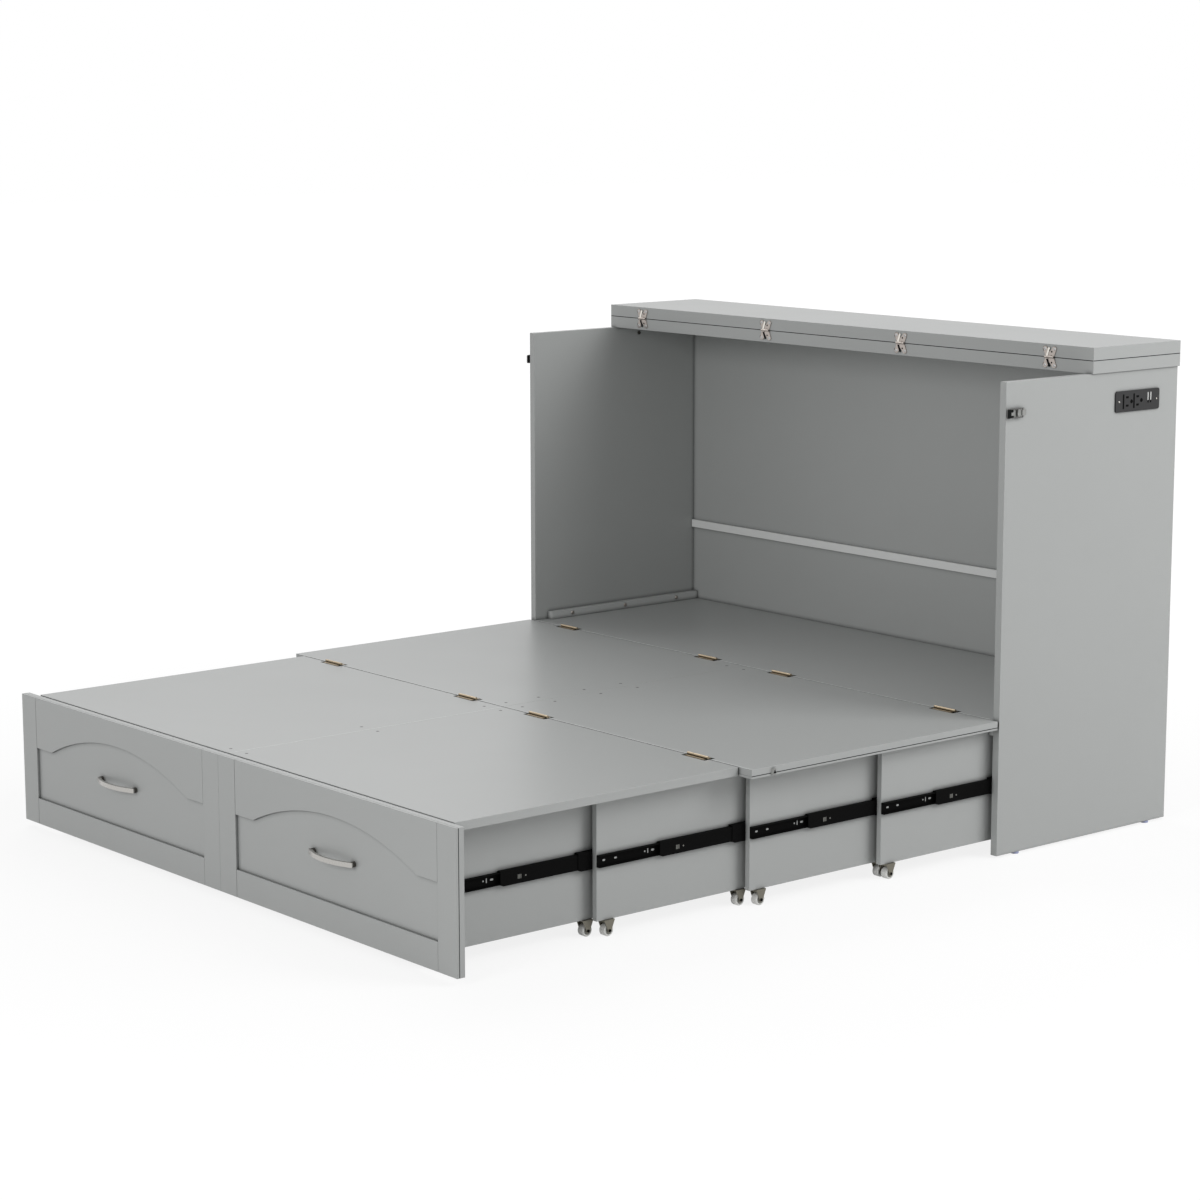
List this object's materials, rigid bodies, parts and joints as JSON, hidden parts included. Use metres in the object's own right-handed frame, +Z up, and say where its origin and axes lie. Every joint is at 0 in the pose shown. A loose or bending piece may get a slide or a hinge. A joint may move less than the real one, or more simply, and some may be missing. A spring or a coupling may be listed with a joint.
{
  "type": "cabinet bed",
  "caption": "Grey cabinet that opens out into a bed: hinged folding decks on four telescoping frames with ball slides and small casters.",
  "frame": {"origin": "on the floor, at the middle of the opened bed's whole length and width", "axes": "+X to the right as seen from the foot of the bed, +Y from the handles at the foot to the cabinet's back, +Z up"},
  "size_m": [1.6688, 2.085, 1.1144],
  "materials": {
    "painted_board": "satin painted board",
    "back_panel": "satin painted board",
    "frame_board": "satin painted board",
    "brass": "brushed",
    "nickel": "satin nickel",
    "dark_foot": "satin",
    "black_steel": "satin black",
    "caster_steel": "zinc plated",
    "wheel_nylon": "matte",
    "glide_plastic": "matte",
    "outlet_black": "satin",
    "latch_plate": "nickel plated",
    "latch_wire": "blackened"
  },
  "bodies": {
    "cabinet": {"side_left": "painted_board", "side_right": "painted_board", "back_lower": "back_panel", "back_upper": "back_panel", "back_rail": "painted_board", "glides": "glide_plastic", "top_fixed": "painted_board", "rear_deck": "painted_board", "rear_deck_strips": "painted_board", "outlet": "outlet_black", "flip_hinge_lower_leaves": "nickel", "rear_hinge_fixed_leaves": "brass", "latch_bases": "latch_plate", "cabinet_slide_rails": "black_steel"},
    "flap": {"top_flap": "painted_board", "flip_hinge_upper_leaves": "nickel"},
    "middle_deck": {"mid_deck_left": "painted_board", "mid_deck_right": "painted_board", "door_frame": "painted_board", "mid_hinge_leaves": "brass", "latch_keepers": "latch_plate"},
    "front_deck": {"front_deck_left": "painted_board", "front_deck_right": "painted_board", "front_hinge_leaves": "brass", "front_deck_joiners": "frame_board"},
    "frame_a": {"front_board": "painted_board", "face_frame_left": "painted_board", "face_frame_right": "painted_board", "handles": "nickel", "handle_feet": "dark_foot", "frame_a_sides": "frame_board", "frame_a_cross": "frame_board", "frame_a_slide_rails": "black_steel", "frame_a_casters": "caster_steel"},
    "slide_a": {"slide_a_middles": "black_steel"},
    "slide_b": {"slide_b_middles": "black_steel"},
    "slide_c": {"slide_c_middles": "black_steel"},
    "slide_d": {"slide_d_middles": "black_steel"},
    "lever_left": {"latch_lever_left": "latch_plate"},
    "lever_right": {"latch_lever_right": "latch_plate"},
    "loop_left": {"latch_loop_left": "latch_wire"},
    "loop_right": {"latch_loop_right": "latch_wire"},
    "frame_b": {"frame_b_sides": "frame_board", "frame_b_cross": "frame_board", "frame_b_slide_rails": "black_steel", "frame_b_casters": "caster_steel"},
    "frame_c": {"frame_c_sides": "frame_board", "frame_c_cross": "frame_board", "frame_c_slide_rails": "black_steel", "frame_c_casters": "caster_steel"},
    "frame_d": {"frame_d_sides": "frame_board", "frame_d_cross": "frame_board", "frame_d_slide_rails": "black_steel", "frame_d_casters": "caster_steel"},
    "wheels_a_rear": {"wheels_a_rear": "wheel_nylon"},
    "wheels_b_front": {"wheels_b_front": "wheel_nylon"},
    "wheels_b_rear": {"wheels_b_rear": "wheel_nylon"},
    "wheels_c_front": {"wheels_c_front": "wheel_nylon"},
    "wheels_c_rear": {"wheels_c_rear": "wheel_nylon"},
    "wheels_d_front": {"wheels_d_front": "wheel_nylon"}
  },
  "joints": [
    {"name": "deck_lift", "type": "hinge", "parent": "cabinet", "child": "middle_deck", "pos_m": [0, 0.46905, 0.3135], "axis": [-1, 0, 0], "range_deg": [0, 90]},
    {"name": "front_fold", "type": "hinge", "parent": "middle_deck", "child": "front_deck", "pos_m": [0, -0.26495, 0.3135], "axis": [-1, 0, 0], "range_deg": [0, 180]},
    {"name": "flap_flip", "type": "hinge", "parent": "cabinet", "child": "flap", "pos_m": [0, 0.74455, 1.0853], "axis": [1, 0, 0], "range_deg": [0, 180]},
    {"name": "draw_d", "type": "slide", "parent": "cabinet", "child": "frame_d", "axis": [0, 1, 0], "range_m": [0, 0.33]},
    {"name": "slide_d_run", "type": "slide", "parent": "cabinet", "child": "slide_d", "axis": [0, 1, 0], "range_m": [0, 0.17131]},
    {"name": "draw_c", "type": "slide", "parent": "frame_d", "child": "frame_c", "axis": [0, 1, 0], "range_m": [0, 0.391]},
    {"name": "slide_c_run", "type": "slide", "parent": "frame_d", "child": "slide_c", "axis": [0, 1, 0], "range_m": [0, 0.1977]},
    {"name": "draw_b", "type": "slide", "parent": "frame_c", "child": "frame_b", "axis": [0, 1, 0], "range_m": [0, 0.3915]},
    {"name": "slide_b_run", "type": "slide", "parent": "frame_c", "child": "slide_b", "axis": [0, 1, 0], "range_m": [0, 0.19681]},
    {"name": "draw_a", "type": "slide", "parent": "frame_b", "child": "frame_a", "axis": [0, 1, 0], "range_m": [0, 0.3542]},
    {"name": "slide_a_run", "type": "slide", "parent": "frame_b", "child": "slide_a", "axis": [0, 1, 0], "range_m": [0, 0.19571]},
    {"name": "lever_right_swing", "type": "hinge", "parent": "cabinet", "child": "lever_right", "pos_m": [0.83, 0.50655, 0.988], "axis": [0, 0, -1], "range_deg": [0, 170]},
    {"name": "loop_right_swing", "type": "hinge", "parent": "lever_right", "child": "loop_right", "pos_m": [0.832, 0.51855, 0.988], "axis": [0, 0, 1], "range_deg": [0, 170]},
    {"name": "lever_left_swing", "type": "hinge", "parent": "cabinet", "child": "lever_left", "pos_m": [-0.83, 0.50655, 0.988], "axis": [0, 0, 1], "range_deg": [0, 170]},
    {"name": "loop_left_swing", "type": "hinge", "parent": "lever_left", "child": "loop_left", "pos_m": [-0.832, 0.51855, 0.988], "axis": [0, 0, -1], "range_deg": [0, 170]},
    {"name": "roll_a_rear", "type": "hinge", "parent": "frame_a", "child": "wheels_a_rear", "pos_m": [0, -0.61245, 0.0125], "axis": [-1, 0, 0], "continuous": true},
    {"name": "roll_b_front", "type": "hinge", "parent": "frame_b", "child": "wheels_b_front", "pos_m": [0, -0.57745, 0.0125], "axis": [-1, 0, 0], "continuous": true},
    {"name": "roll_b_rear", "type": "hinge", "parent": "frame_b", "child": "wheels_b_rear", "pos_m": [0, -0.22045, 0.0125], "axis": [-1, 0, 0], "continuous": true},
    {"name": "roll_c_front", "type": "hinge", "parent": "frame_c", "child": "wheels_c_front", "pos_m": [0, -0.18645, 0.0125], "axis": [-1, 0, 0], "continuous": true},
    {"name": "roll_c_rear", "type": "hinge", "parent": "frame_c", "child": "wheels_c_rear", "pos_m": [0, 0.16955, 0.0125], "axis": [-1, 0, 0], "continuous": true},
    {"name": "roll_d_front", "type": "hinge", "parent": "frame_d", "child": "wheels_d_front", "pos_m": [0, 0.16955, 0.0125], "axis": [-1, 0, 0], "continuous": true}
  ],
  "couplings": [
    {"joint": "draw_d", "follows": "deck_lift", "m_per_rad": 0.21008},
    {"joint": "slide_d_run", "follows": "deck_lift", "m_per_rad": 0.10905},
    {"joint": "draw_c", "follows": "deck_lift", "m_per_rad": 0.24892},
    {"joint": "slide_c_run", "follows": "deck_lift", "m_per_rad": 0.12586},
    {"joint": "draw_b", "follows": "deck_lift", "m_per_rad": 0.24924},
    {"joint": "slide_b_run", "follows": "deck_lift", "m_per_rad": 0.12529},
    {"joint": "draw_a", "follows": "deck_lift", "m_per_rad": 0.22549},
    {"joint": "slide_a_run", "follows": "deck_lift", "m_per_rad": 0.12459},
    {"joint": "loop_right_swing", "follows": "lever_right_swing", "ratio": 1},
    {"joint": "loop_left_swing", "follows": "lever_left_swing", "ratio": 1},
    {"joint": "flap_flip", "follows": "front_fold", "ratio": 1}
  ]
}
